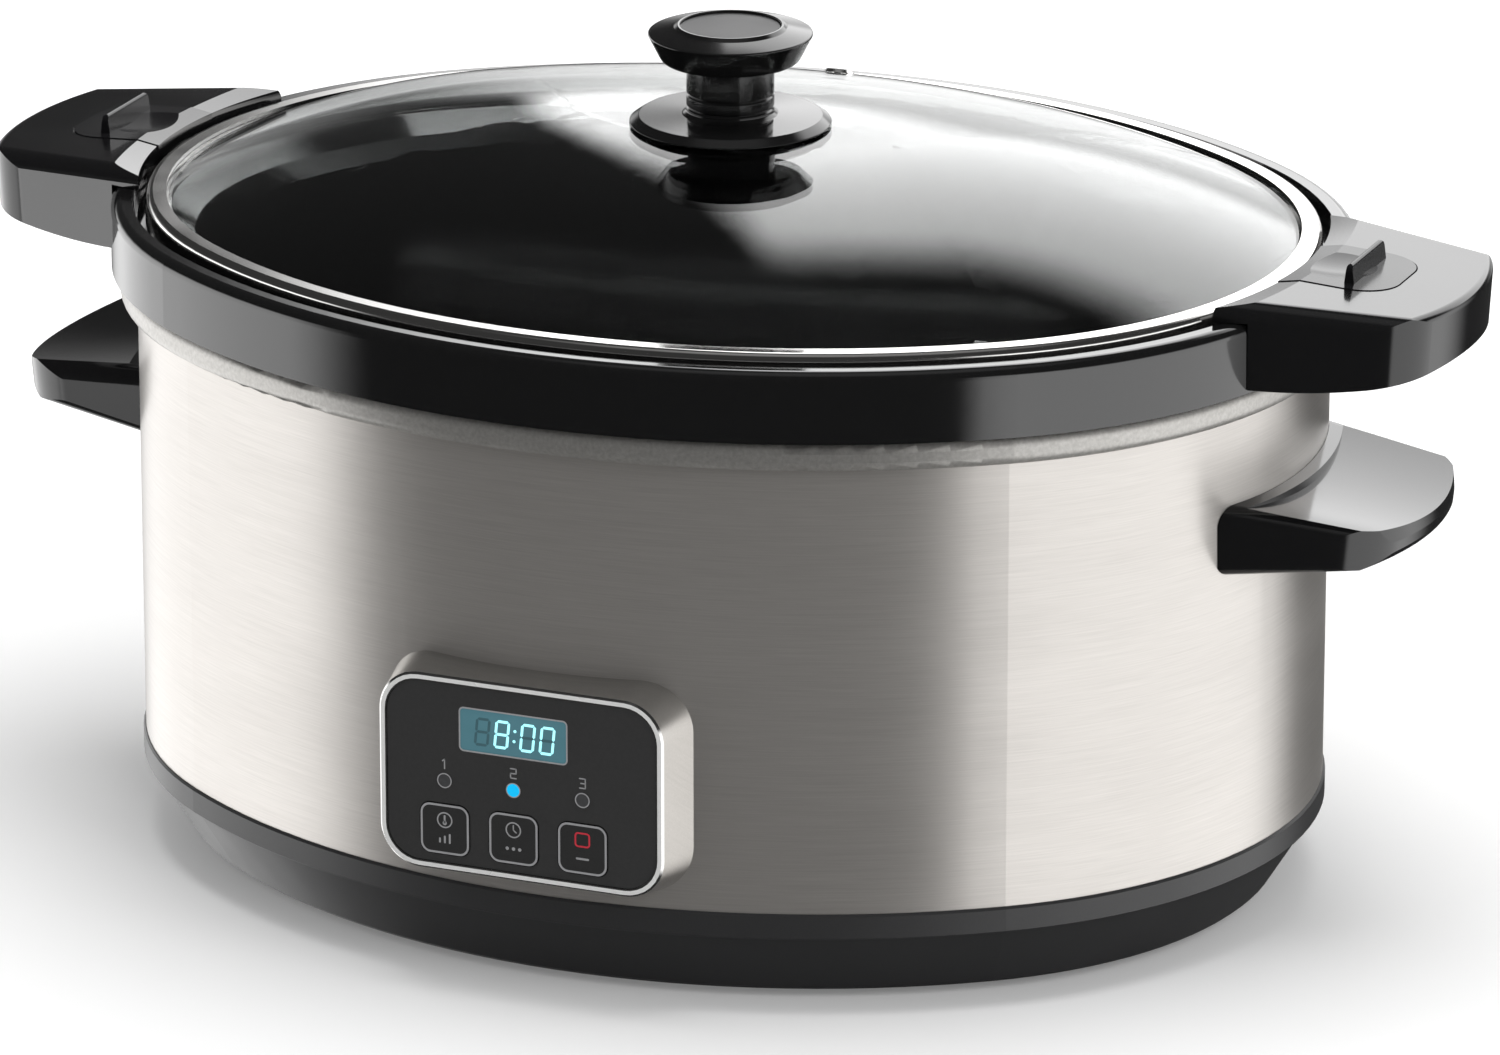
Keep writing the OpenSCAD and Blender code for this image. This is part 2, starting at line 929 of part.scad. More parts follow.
// Plan of a grip: its sides close in by 9 in 40 towards the bowed end.
module grip_outline(x_out) {
    r = grip_corner_r;
    bow = 75 + r;
    c = [x_out - bow + 72, 21];
    t = [c[0] + r * 9 / 41, c[1] + r * 40 / 41];
    jut_outline(x_out, bow, r, c, t, [t[0] - 80, t[1] + 18]);
}

// The room over a grip, from "up" above its deck.  The deck falls outward, and
// near the lid it slopes in to a nose that follows the oval.
module above_deck(up) {
    tipped(body_a - 12, grip_top, deck_fall)
        translate([body_a - 45, -70, grip_top + up])
            cube([130, 140, 20]);
    translate([end_x, 0, grip_top + up])
        rotate_extrude()
            translate([end_r, 0])
                polygon([[-20, -5.2], [8, -0.6], [8, 20], [-20, 20]]);
}

module grip() {
    x_out = body_a + grip_reach;
    low = rim_bot + 2.2;
    under = 165;
    difference() {
        tipped(body_a - 12, grip_top, deck_fall)
            intersection() {
                translate([0, 0, low - 6])
                    linear_extrude(grip_top - low + 12)
                        grip_outline(x_out);
                translate([0, 0, low - 10])
                    rounded_blank(x_out, 75 + grip_corner_r,
                                  [x_out - 3 - grip_corner_r * 32 / 41,
                                   21.05 + grip_corner_r * 40 / 41],
                                  12.68, grip_top - low + 10, 5, 2.2);
                translate([body_a - 2, 0, low + under])
                    rotate([90, 0, 0])
                        cylinder(r = under, h = 120, center = true, $fn = 360);
            }
        above_deck(0);
        oval_plate(rim_out + 0.2, low - 10, rim_top - low + 10.2);
        oval_plate(seat_d - 0.3, low, 60);
        // pocket that fits over the pot's ear
        translate([0, 0, low - 10])
            linear_extrude(lug_z + lug_h + 0.3 - low + 10)
                translate([(lug_x + lug_end) / 2, 0])
                    rounded_rect(lug_end - lug_x + 0.6, 2 * lug_half_w + 0.6, 6.3);
        lug_holes()
            translate([0, 0, lug_z])
                cylinder(r = 1.7, h = lug_h + 6);
        // channel for the latch, with a finger scoop's room at its outer end
        translate([0, 0, latch_z - run_gap])
            linear_extrude(20)
                latch_outline(run_gap, latch_end + run_gap);
        translate([stem_x - latch_travel - run_gap, -5 - run_gap, grip_top - 7])
            cube([stem_l + latch_travel + 2 * run_gap, 10 + 2 * run_gap, 20]);
        translate([stem_x - latch_travel - 1.4, -9.5, lug_z + lug_h + 1.5])
            cube([stem_l + latch_travel + 2.8, 19, grip_top - 6.6 - lug_z - lug_h - 1.5]);
    }
}

module grip_right() {
    color("#0f0f10")
        grip();
}

module grip_left() {
    color("#0f0f10")
        mirror([1, 0, 0])
            grip();
}

module grip_screws() {
    color("#9a9a9a")
        for (side = [0, 1])
            mirror([side, 0, 0])
                lug_holes()
                    translate([0, 0, lug_z - 2.2])
                        cross_screw(4, 2.2, 1.7, lug_h + 5);
}

// Plan of a latch: straight sides with a rounded outer end, grown by d.
module latch_outline(d, x_end) {
    w = latch_w + 2 * d;
    translate([body_a - 25, -w / 2])
        square([x_end - body_a + 25 - 12, w]);
    intersection() {
        translate([x_end - 24, 0])
            rounded_rect(48, w, 12);
        translate([x_end - 40, -w / 2])
            square([40, w]);
    }
}

module latch() {
    fin_h = 5;
    difference() {
        union() {
            difference() {
                translate([0, 0, latch_z])
                    linear_extrude(latch_t + 2)
                        latch_outline(0, latch_end);
                above_deck(0.25);
                // shallow hollow for the thumb
                translate([ridge_x - 4.5, 0, ridge_z + 59])
                    sphere(r = 60);
            }
            // thumb fin
            intersection() {
                translate([ridge_x, 20, ridge_z])
                    rotate([90, 0, 0])
                        linear_extrude(40) {
                            polygon([[-1.5, -1.3], [1.7, -1.3], [1, fin_h - 0.9],
                                     [-0.8, fin_h - 0.9]]);
                            translate([0.1, fin_h - 0.9])
                                circle(r = 0.9);
                        }
                translate([ridge_x - 5, 0, ridge_z - 3])
                    rotate([90, 0, 90])
                        linear_extrude(10)
                            arched(13.5, fin_h + 3.2, 2.2);
            }
            translate([stem_x, -5, grip_top - 7.4])
                cube([stem_l, 10, latch_z - grip_top + 8]);
            translate([stem_x - 1.1, -9.2, lug_z + lug_h + 1.8])
                cube([stem_l + 2.2, 18.4, grip_top - 7 - lug_z - lug_h - 1.8]);
        }
        oval_plate(latch_d, latch_z - 8, 30);
    }
}

module latch_right() {
    color("#161617")
        latch();
}

module latch_left() {
    color("#161617")
        mirror([1, 0, 0])
            latch();
}

// ---- lid ----------------------------------------------------------------------

// The dome's section from the lid's edge to the middle, an arc of even
// thickness, with the flat flange that the lid's ring holds.
module glass_section() {
    intersection() {
        translate([-end_r, dome_top - dome_r])
            difference() {
                circle(r = dome_r);
                circle(r = dome_r - glass_t);
            }
        translate([-end_r, glass_edge_z - flange_t])
            square([end_r + glass_edge_d + 1.2, dome_h + 10]);
    }
    translate([ring_d - ring_w - 1, glass_edge_z - flange_t])
        square([ring_w - 0.4, flange_t]);
}

// The level middle of the dome, between the inner ends of the side arcs.
module dome_middle() {
    translate([0, 0, dome_top - glass_t])
        linear_extrude(glass_t)
            intersection() {
                translate([0, side_y])
                    circle(r = side_r - end_r);
                translate([0, -side_y])
                    circle(r = side_r - end_r);
            }
}

// Where the steam vent stands: square to the dome, behind the knob.
module vent_place() {
    out = vent_y - body_b + end_r;
    translate([vent_x, vent_y, dome_top - dome_r + sqrt(dome_r * dome_r - out * out)])
        rotate([-asin(out / dome_r), 0, 0])
            children();
}

module lid_glass() {
    color("#cfe0e2", 0.35)
        difference() {
            union() {
                sweep_oval()
                    glass_section();
                dome_middle();
            }
            cylinder(r = 3.4, h = dome_top + 20);
            vent_place()
                translate([0, 0, -10])
                    cylinder(r = 2.6, h = 20);
        }
}

module ring_shape(t) {
    r = 2.2 - t;
    translate([ring_d - ring_w, lid_z + t])
        square([ring_w - 2.2, ring_h - 2 * t]);
    translate([ring_d - ring_w, lid_z + 1 + t])
        square([ring_w - t, ring_h - 3.2 - t]);
    translate([ring_d - 3, lid_z + t])
        square([3 - t, 2]);
    translate([ring_d - 2.2, ring_top - 2.2])
        circle(r = r);
}

module lid_ring() {
    color("#c9c9c9")
        sweep_oval()
            difference() {
                ring_shape(0);
                ring_shape(ring_t);
                translate([ring_d - ring_w - 1, lid_z + ring_t])
                    square([ring_w - 3, ring_h - 2 * ring_t]);
            }
}

module lid_gasket() {
    color("#3a3a3a")
        sweep_oval()
            translate([ring_d - ring_w + 0.2, lid_z + ring_t])
                square([ring_w - ring_t - 0.6, glass_edge_z - flange_t - lid_z - ring_t]);
}

module steam_vent() {
    color("#c4c6c8")
        vent_place()
            difference() {
                union() {
                    translate([0, 0, -glass_t - 0.8])
                        cylinder(r = 2.3, h = glass_t + 1.6);
                    translate([0, 0, 0.1])
                        cylinder(r1 = 4.6, r2 = 3.8, h = 0.9);
                    translate([0, 0, -glass_t - 1])
                        cylinder(r = 4.4, h = 0.9);
                }
                translate([0, 0, -glass_t - 3])
                    cylinder(r = 1.5, h = glass_t + 8);
            }
}

module knob_seal() {
    color("#3a3a3a")
        translate([0, 0, dome_top])
            difference() {
                cylinder(r = 14, h = seal_t);
                translate([0, 0, -1])
                    cylinder(r = 3.6, h = 4);
            }
}

module knob_base() {
    disc = knob_base_r;
    stem = 12.6;
    neck_top = knob_h - cap_h;
    color("#0f0f10")
        translate([0, 0, dome_top + seal_t])
            difference() {
                rotate_extrude()
                    difference() {
                        polygon([[0, 0], [14.3, 0], [14.3, -0.2], [disc - 1.5, -0.3],
                                 [disc - 0.4, -0.1], [disc, 0.5], [disc - 0.5, 1.3],
                                 [disc - 8, 3.9], [stem + 1.6, 4.6], [stem, 6],
                                 [stem, neck_top], [0, neck_top]]);
                        for (z = [8.4, 12.2])
                            translate([stem + 0.3, z])
                                circle(r = 1);
                    }
                translate([0, 0, -2])
                    cylinder(r = 2.2, h = 16);
            }
}

module knob_cap() {
    low = knob_cap_r - 4.2;
    color("#0f0f10")
        translate([0, 0, dome_top + seal_t + knob_h - cap_h])
            rotate_extrude()
                difference() {
                    union() {
                        polygon([[0, 0.1], [low - 3, 0.1], [low - 0.6, 0.8], [low, 2],
                                 [knob_cap_r - 0.4, cap_h - 2], [knob_cap_r - 1.8, cap_h],
                                 [0, cap_h]]);
                        translate([knob_cap_r - 1.8, cap_h - 1.4])
                            circle(r = 1.8);
                    }
                    translate([0, cap_h - 1])
                        square([14.4, 5]);
                }
}

module knob_disc() {
    color("#2b2b2d")
        translate([0, 0, dome_top + seal_t + knob_h - 1])
            cylinder(r = 14.2, h = 0.7);
}

module knob_screw() {
    color("#b5b7b9")
        translate([0, 0, dome_top - glass_t - 3])
            cross_screw(7, 2.9, 2.2, glass_t + 14);
}

skirt();
rubber_feet();
skirt_screws();
outer_shell();
heating_liner();
liner_studs();
heater_band();
heater_terminals();
temperature_sensor();
thermal_fuse();
body_handle_left();
body_handle_right();
body_handle_screws();
panel_bezel();
panel_fascia();
display_window();
display_module();
indicator_lamps();
temperature_key();
time_key();
stop_key();
key_switches();
control_board();
panel_box();
panel_screws();
power_board();
relay();
transformer();
fuse_holder();
cord_gland();
pot();
grip_left();
grip_right();
grip_screws();
latch_left();
latch_right();
lid_glass();
lid_ring();
lid_gasket();
steam_vent();
knob_seal();
knob_base();
knob_cap();
knob_disc();
knob_screw();
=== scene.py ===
"""A slow cooker: brushed steel body, black glazed pot, glass lid and a lit control panel.

Metres, +Z up, the control panel facing -Y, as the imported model. What is drawn on the panel
and turned for the knob is given in millimetres.
"""

import math

import bmesh
import bpy
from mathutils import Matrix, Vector


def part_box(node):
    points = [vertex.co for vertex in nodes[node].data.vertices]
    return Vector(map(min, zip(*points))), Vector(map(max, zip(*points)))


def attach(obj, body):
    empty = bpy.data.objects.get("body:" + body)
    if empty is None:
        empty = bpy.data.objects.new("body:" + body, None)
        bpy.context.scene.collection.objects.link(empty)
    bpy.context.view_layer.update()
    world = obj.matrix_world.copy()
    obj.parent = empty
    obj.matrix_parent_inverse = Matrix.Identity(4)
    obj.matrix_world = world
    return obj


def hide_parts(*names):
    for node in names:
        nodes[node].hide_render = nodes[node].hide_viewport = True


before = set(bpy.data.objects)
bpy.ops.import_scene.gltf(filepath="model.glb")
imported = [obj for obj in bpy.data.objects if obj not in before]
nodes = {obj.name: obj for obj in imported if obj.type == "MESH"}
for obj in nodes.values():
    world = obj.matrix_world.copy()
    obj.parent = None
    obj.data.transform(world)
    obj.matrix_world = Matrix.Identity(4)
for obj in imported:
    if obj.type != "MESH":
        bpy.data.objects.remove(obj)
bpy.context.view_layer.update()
MM = 0.001


def add_object(name, data):
    """An object that holds data, linked into the scene."""
    added = bpy.data.objects.new(name, data)
    bpy.context.scene.collection.objects.link(added)
    return added


# ---- camera -----------------------------------------------------------------

CAMERA_TARGET = Vector((0.00514, 0.00213, 0.09424))
CAMERA_AZIMUTH = 0.394      # radians from the front towards the right
CAMERA_ELEVATION = 0.326    # radians above the horizon
CAMERA_DISTANCE = 2.9551
CAMERA_LENS = 245.14        # mm
CAMERA_SENSOR = 36          # mm


def make_camera():
    """The camera that the photo was taken with."""
    back = Vector((
        math.sin(CAMERA_AZIMUTH) * math.cos(CAMERA_ELEVATION),
        -math.cos(CAMERA_AZIMUTH) * math.cos(CAMERA_ELEVATION),
        math.sin(CAMERA_ELEVATION),
    ))
    data = bpy.data.cameras.new("camera")
    data.lens = CAMERA_LENS
    data.sensor_width = CAMERA_SENSOR
    camera = add_object("camera", data)
    camera.location = CAMERA_TARGET + back * CAMERA_DISTANCE
    camera.rotation_euler = back.to_track_quat("Z", "Y").to_euler()
    bpy.context.scene.camera = camera


make_camera()
bpy.context.scene.view_settings.view_transform = "Standard"


# ---- shading helpers ----------------------------------------------------------

class Shading:
    """Short ways to add to a node tree. A value is a number, a tuple or an output."""

    def __init__(self, tree):
        self.nodes = tree.nodes
        self.links = tree.links

    def feed(self, node, inputs):
        """Gives a node's inputs, by name or place, their values; a colour is RGB."""
        for key, value in inputs.items():
            self.put(node.inputs[key], value)

    def put(self, socket, value):
        """Links an output to an input, or sets the input's own value."""
        if isinstance(value, bpy.types.NodeSocket):
            self.links.new(value, socket)
        elif socket.type == "RGBA":
            socket.default_value = (*value, 1.0)
        else:
            socket.default_value = value

    def math(self, operation, *values):
        """The output of a Math node."""
        node = self.nodes.new("ShaderNodeMath")
        node.operation = operation
        self.feed(node, dict(enumerate(values)))
        return node.outputs[0]

    def smooth(self, value, low, high, out_low=0.0, out_high=1.0):
        """A smooth step from out_low to out_high as value goes from low to high."""
        node = self.nodes.new("ShaderNodeMapRange")
        node.interpolation_type = "SMOOTHSTEP"
        self.feed(node, {"Value": value, "From Min": low, "From Max": high,
                         "To Min": out_low, "To Max": out_high})
        return node.outputs["Result"]

    def place(self, space="Object"):
        """The place in object space, or another output of Texture Coordinate."""
        return self.nodes.new("ShaderNodeTexCoord").outputs[space]

    def axes(self, space="Object"):
        """The place's X, Y and Z outputs."""
        node = self.nodes.new("ShaderNodeSeparateXYZ")
        self.feed(node, {"Vector": self.place(space)})
        return node.outputs

    def noise(self, scale, detail=4.0, roughness=0.55):
        """Noise in object space. scale is in cycles per metre, one or for X, Y and Z."""
        mapping = self.nodes.new("ShaderNodeMapping")
        self.feed(mapping, {
            "Vector": self.place(),
            "Scale": scale if isinstance(scale, tuple) else (scale,) * 3,
        })
        texture = self.nodes.new("ShaderNodeTexNoise")
        self.feed(texture, {"Vector": mapping.outputs["Vector"], "Scale": 1.0,
                            "Detail": detail, "Roughness": roughness})
        return texture.outputs["Fac"]

    def blend(self, factor, first, second):
        """A colour between two, each of them RGB or an output."""
        node = self.nodes.new("ShaderNodeMix")
        node.data_type = "RGBA"
        self.feed(node, {"Factor": factor})
        for name, value in (("A", first), ("B", second)):
            self.put(next(s for s in node.inputs if s.name == name and s.type == "RGBA"),
                     value)
        return next(s for s in node.outputs if s.type == "RGBA")

    def bump(self, height, depth, strength=1.0):
        """A bump of the given depth in metres."""
        node = self.nodes.new("ShaderNodeBump")
        self.feed(node, {"Height": height, "Distance": depth, "Strength": strength})
        return node.outputs["Normal"]


def new_material(name):
    """A material with a plain Principled shader: (material, its shading, the shader)."""
    material = bpy.data.materials.new(name)
    material.use_nodes = True
    tree = material.node_tree
    return material, Shading(tree), tree.nodes["Principled BSDF"]


# ---- materials --------------------------------------------------------------

NOISE_MIDDLE = (0.3, 0.7)   # where most of a noise's values lie
DRIFT = 22                  # cycles per metre over which a roughness drifts
BEAD_H = 8.5 * MM           # the bead along the top of the steel wall
BEAD_EDGE = 0.4 * MM        # over which the wall's brushing gives way to the bead
GLAZE_EDGE = 1.5 * MM       # over which the pot's bare foot gives way to glaze


def surface(name, dark, light, rough, grain, depth=0.0, metallic=0.0, coat=None):
    """A material whose colour and roughness wander between two values over a grain.

    coat is the weight and roughness of a clear coat.
    """
    material, shading, shader = new_material(name)
    grains = shading.noise(grain)
    drift = shading.noise(DRIFT, detail=2.0)
    shading.feed(shader, {
        "Metallic": metallic,
        "Base Color": shading.blend(grains, dark, light),
        "Roughness": shading.smooth(drift, *NOISE_MIDDLE, *rough),
    })
    if coat:
        shading.feed(shader, {"Coat Weight": coat[0], "Coat Roughness": coat[1]})
    if depth:
        shading.feed(shader, {"Normal": shading.bump(grains, depth)})
    return material


def brushed_steel(name, bead_z):
    """Steel brushed along the wall, with a plainer, grainier bead above bead_z."""
    material, shading, shader = new_material(name)
    tangent = shading.nodes.new("ShaderNodeTangent")
    tangent.direction_type = "RADIAL"
    tangent.axis = "Z"
    on_bead = shading.smooth(shading.axes()["Z"], bead_z - BEAD_EDGE, bead_z)
    streaks = shading.noise((45, 45, 2600), detail=5.0, roughness=0.65)
    fine = shading.noise(900, detail=3.0)
    broad = shading.noise((9, 9, 30), detail=2.0)
    wall = shading.blend(streaks, (0.505, 0.482, 0.455), (0.705, 0.674, 0.642))
    bead = shading.blend(fine, (0.36, 0.35, 0.33), (0.66, 0.645, 0.62))
    wall_rough = shading.smooth(broad, *NOISE_MIDDLE, 0.30, 0.35)
    bead_rougher = 0.08
    height = shading.math("MULTIPLY_ADD", on_bead, fine, streaks)
    shading.feed(shader, {
        "Metallic": 0.75,
        "Anisotropic": 0.7,
        "Anisotropic Rotation": 0.25,
        "Tangent": tangent.outputs["Tangent"],
        "Base Color": shading.blend(on_bead, wall, bead),
        "Roughness": shading.math("MULTIPLY_ADD", on_bead, bead_rougher, wall_rough),
        "Normal": shading.bump(height, 0.00002, 0.5),
    })
    return material


def black_glaze(name, foot_z):
    """Glossy black pot glaze with the faint waviness of a fired coat, bare at the foot."""
    material, shading, shader = new_material(name)
    glazed = shading.smooth(shading.axes()["Z"], foot_z, foot_z + GLAZE_EDGE)
    specks = shading.noise(700, detail=3.0)
    waves = shading.noise(60, detail=2.0)
    bare = (0.16, 0.145, 0.13)
    bare_rough, glaze_rough = 0.8, 0.09
    glaze = shading.blend(specks, (0.0035, 0.0035, 0.0038), (0.008, 0.008, 0.008))
    shading.feed(shader, {
        "IOR": 1.7,
        "Coat Weight": 0.3,
        "Coat Roughness": 0.03,
        "Base Color": shading.blend(glazed, bare, glaze),
        "Roughness": shading.smooth(glazed, 0.0, 1.0, bare_rough, glaze_rough),
        "Normal": shading.bump(waves, 0.00008, 0.35),
    })
    return material


def clear_glass(name):
    """Clear tempered glass with the faintest wiping marks."""
    material, shading, shader = new_material(name)
    marks = shading.noise((30, 55, 40), detail=5.0, roughness=0.7)
    shading.feed(shader, {
        "Base Color": (0.965, 0.985, 0.98),
        "Transmission Weight": 1.0,
        "IOR": 1.47,
        "Roughness": shading.smooth(marks, 0.45, 0.8, 0.0, 0.035),
    })
    return material


def glowing(name, dark, light, glow, strength, grain):
    """A lit surface: its glow varies a little over a grain."""
    material, shading, shader = new_material(name)
    grains = shading.noise(grain, detail=2.0)
    dim_glow = tuple(0.85 * c for c in glow)
    shading.feed(shader, {
        "Base Color": shading.blend(grains, dark, light),
        "Emission Color": shading.blend(grains, dim_glow, glow),
        "Emission Strength": strength,
        "Roughness": 0.25,
    })
    return material


STEEL = brushed_steel("brushed_body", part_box("outer_shell")[1].z - BEAD_H)
GLAZE = black_glaze("pot_glaze_black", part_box("pot")[0].z)
HANDLE_BLACK = surface(
    "handle_black_gloss", (0.004, 0.004, 0.0042), (0.009, 0.009, 0.0095),
    rough=(0.10, 0.16), grain=1500, depth=0.000004, coat=(0.3, 0.05))
LATCH_BLACK = surface(
    "latch_black_gloss", (0.005, 0.005, 0.0055), (0.010, 0.010, 0.011),
    rough=(0.14, 0.20), grain=1500, depth=0.000004)
KNOB_BLACK = surface(
    "knob_black_gloss", (0.004, 0.004, 0.0042), (0.009, 0.009, 0.009),
    rough=(0.10, 0.16), grain=1500, depth=0.000003, coat=(0.3, 0.05))
DISC_BLACK = surface(
    "knob_disc_satin", (0.018, 0.018, 0.019), (0.030, 0.030, 0.031),
    rough=(0.32, 0.42), grain=2500, depth=0.00001)
SKIRT_BLACK = surface(
    "skirt_satin", (0.022, 0.022, 0.023), (0.034, 0.034, 0.035),
    rough=(0.34, 0.42), grain=2200, depth=0.00001)
RING_STEEL = surface(
    "lid_ring_polished", (0.70, 0.69, 0.67), (0.82, 0.81, 0.80),
    rough=(0.08, 0.16), grain=(60, 60, 2500), depth=0.000003, metallic=1.0)
BEZEL = surface(
    "bezel_satin_silver", (0.66, 0.655, 0.64), (0.76, 0.755, 0.745),
    rough=(0.08, 0.12), grain=1600, depth=0.000002, metallic=1.0)
# a pale line for the bezel's edge: painted highlight for the light its polished lip catches
BEZEL_PAINTED_HIGHLIGHT = surface(
    "bezel_painted_highlight", (0.80, 0.80, 0.79), (0.90, 0.90, 0.89),
    rough=(0.22, 0.30), grain=1600, metallic=0.2)
FASCIA = surface(
    "fascia_gloss", (0.034, 0.034, 0.034), (0.042, 0.042, 0.042),
    rough=(0.05, 0.09), grain=900, coat=(0.3, 0.02))
KEY_BLACK = surface(
    "key_gloss", (0.026, 0.026, 0.026), (0.034, 0.034, 0.034),
    rough=(0.12, 0.18), grain=1800, depth=0.000003)
RUBBER = surface(
    "rubber_dull", (0.030, 0.030, 0.030), (0.050, 0.050, 0.050),
    rough=(0.75, 0.9), grain=1200, depth=0.00002)
SEAL = surface(
    "seal_silicone", (0.035, 0.035, 0.036), (0.055, 0.055, 0.056),
    rough=(0.5, 0.65), grain=900, depth=0.00001)
SCREW = surface(
    "screw_zinc", (0.50, 0.50, 0.50), (0.64, 0.64, 0.65),
    rough=(0.28, 0.42), grain=700, depth=0.00001, metallic=1.0)
LINER = surface(
    "liner_aluminised", (0.48, 0.49, 0.50), (0.62, 0.63, 0.64),
    rough=(0.35, 0.5), grain=160, depth=0.00001, metallic=1.0)
MICA = surface(
    "heater_mica", (0.50, 0.42, 0.28), (0.70, 0.62, 0.46),
    rough=(0.55, 0.7), grain=(90, 90, 400), depth=0.00003)
PLATED = surface(
    "plated_metal", (0.66, 0.67, 0.68), (0.78, 0.79, 0.80),
    rough=(0.2, 0.32), grain=500, metallic=1.0)
CERAMIC = surface(
    "fuse_glazed", (0.74, 0.66, 0.46), (0.84, 0.77, 0.58),
    rough=(0.2, 0.35), grain=300)
BOARD = surface(
    "board_lacquer", (0.015, 0.12, 0.05), (0.035, 0.22, 0.09),
    rough=(0.3, 0.45), grain=260, depth=0.00001)
BOX = surface(
    "box_moulded", (0.022, 0.022, 0.023), (0.036, 0.036, 0.037),
    rough=(0.45, 0.6), grain=1400, depth=0.00001)
RELAY = surface(
    "relay_case", (0.03, 0.10, 0.34), (0.06, 0.17, 0.48),
    rough=(0.35, 0.5), grain=900)
WINDING = surface(
    "winding_tape", (0.60, 0.40, 0.04), (0.78, 0.55, 0.09),
    rough=(0.4, 0.55), grain=(80, 80, 900), depth=0.00002)
HOLDER = surface(
    "holder_white", (0.66, 0.66, 0.65), (0.78, 0.78, 0.77),
    rough=(0.35, 0.5), grain=800)
SWITCH = surface(
    "switch_grey", (0.24, 0.25, 0.26), (0.34, 0.35, 0.37),
    rough=(0.4, 0.55), grain=900)
GLASS = clear_glass("lid_clear_glass")
PRINT = surface(
    "print_light_grey", (0.27, 0.27, 0.28), (0.36, 0.36, 0.37),
    rough=(0.35, 0.45), grain=3000)
PRINT_RED = surface(
    "print_red", (0.52, 0.012, 0.03), (0.66, 0.025, 0.05),
    rough=(0.35, 0.45), grain=3000)
LENS_DIM = surface(
    "lamp_lens_dim", (0.045, 0.046, 0.048), (0.07, 0.071, 0.074),
    rough=(0.2, 0.3), grain=1200)
LENS_LIT = glowing(
    "lamp_lens_lit", (0.0, 0.16, 0.28), (0.0, 0.22, 0.36),
    glow=(0.0, 0.42, 0.78), strength=1.0, grain=500)
DISPLAY = glowing(
    "display_teal", (0.03, 0.075, 0.09), (0.05, 0.10, 0.12),
    glow=(0.055, 0.15, 0.18), strength=0.8, grain=(60, 60, 160))
DIGITS = glowing(
    "display_digits_lit", (0.3, 0.6, 0.65), (0.4, 0.7, 0.75),
    glow=(0.30, 0.86, 0.93), strength=1.0, grain=900)
GHOSTS = glowing(
    "display_digits_dim", (0.03, 0.06, 0.07), (0.04, 0.07, 0.08),
    glow=(0.035, 0.10, 0.12), strength=0.6, grain=900)

NODE_MATERIALS = {
    "skirt": SKIRT_BLACK, "rubber_feet": RUBBER, "skirt_screws": SCREW,
    "outer_shell": STEEL, "heating_liner": LINER, "liner_studs": LINER,
    "heater_band": MICA, "heater_terminals": PLATED, "temperature_sensor": PLATED,
    "thermal_fuse": CERAMIC, "body_handle_left": HANDLE_BLACK,
    "body_handle_right": HANDLE_BLACK, "body_handle_screws": SCREW,
    "panel_bezel": BEZEL, "panel_fascia": FASCIA, "display_window": DISPLAY,
    "display_module": SWITCH, "indicator_lamps": LENS_DIM, "temperature_key": KEY_BLACK,
    "time_key": KEY_BLACK, "stop_key": KEY_BLACK, "key_switches": SWITCH,
    "control_board": BOARD, "panel_box": BOX, "panel_screws": SCREW,
    "power_board": BOARD, "relay": RELAY, "transformer": WINDING, "fuse_holder": HOLDER,
    "cord_gland": BOX, "pot": GLAZE, "grip_left": HANDLE_BLACK,
    "grip_right": HANDLE_BLACK, "grip_screws": SCREW, "latch_left": LATCH_BLACK,
    "latch_right": LATCH_BLACK, "lid_glass": GLASS, "lid_ring": RING_STEEL,
    "lid_gasket": SEAL, "steam_vent": RING_STEEL, "knob_seal": SEAL,
    "knob_base": KNOB_BLACK, "knob_cap": KNOB_BLACK, "knob_disc": DISC_BLACK,
    "knob_screw": SCREW,
}
for node_name, node_material in NODE_MATERIALS.items():
    for material_slot in nodes[node_name].material_slots:
        material_slot.material = node_material


# ---- loops of points, in millimetres --------------------------------------------

CORNER_STEPS = 8
END_STEPS = 8


def arc_points(cx, cz, r, start, stop, steps):
    """Points on an arc, with angles in degrees."""
    points = []
    for i in range(steps + 1):
        a = math.radians(start + (stop - start) * i / steps)
        points.append((cx + r * math.cos(a), cz + r * math.sin(a)))
    return points


def rounded_loop(cx, cz, w, h, r):
    """A rounded rectangle as a closed loop of points."""
    points = []
    for i, (sx, sz) in enumerate(((1, 1), (-1, 1), (-1, -1), (1, -1))):
        points += arc_points(cx + sx * (w / 2 - r), cz + sz * (h / 2 - r), r,
                             90 * i, 90 * i + 90, CORNER_STEPS)
    return points


def ring_of(outer, inner):
    """The quads between two loops with as many points each."""
    n = len(outer)
    return [[outer[i], outer[(i + 1) % n], inner[(i + 1) % n], inner[i]] for i in range(n)]


def rounded_ring(cx, cz, w, h, r, line):
    """A line inside the edge of a rounded rectangle."""
    return ring_of(rounded_loop(cx, cz, w, h, r),
                   rounded_loop(cx, cz, w - 2 * line, h - 2 * line, max(r - line, line / 4)))


def round_ring(cx, cz, r, line, steps=40):
    """A line inside the edge of a circle."""
    outer = arc_points(cx, cz, r, 0, 360, steps)[:-1]
    inner = arc_points(cx, cz, r - line, 0, 360, steps)[:-1]
    return ring_of(outer, inner)


def round_bar(x0, z0, x1, z1, w):
    """A straight stroke with round ends."""
    a = math.degrees(math.atan2(z1 - z0, x1 - x0))
    return [arc_points(x1, z1, w / 2, a - 90, a + 90, END_STEPS)
            + arc_points(x0, z0, w / 2, a + 90, a + 270, END_STEPS)]


def disc(cx, cz, r, steps=32):
    """A filled circle."""
    return [arc_points(cx, cz, r, 0, 360, steps)[:-1]]


# ---- pieces made from points ----------------------------------------------------

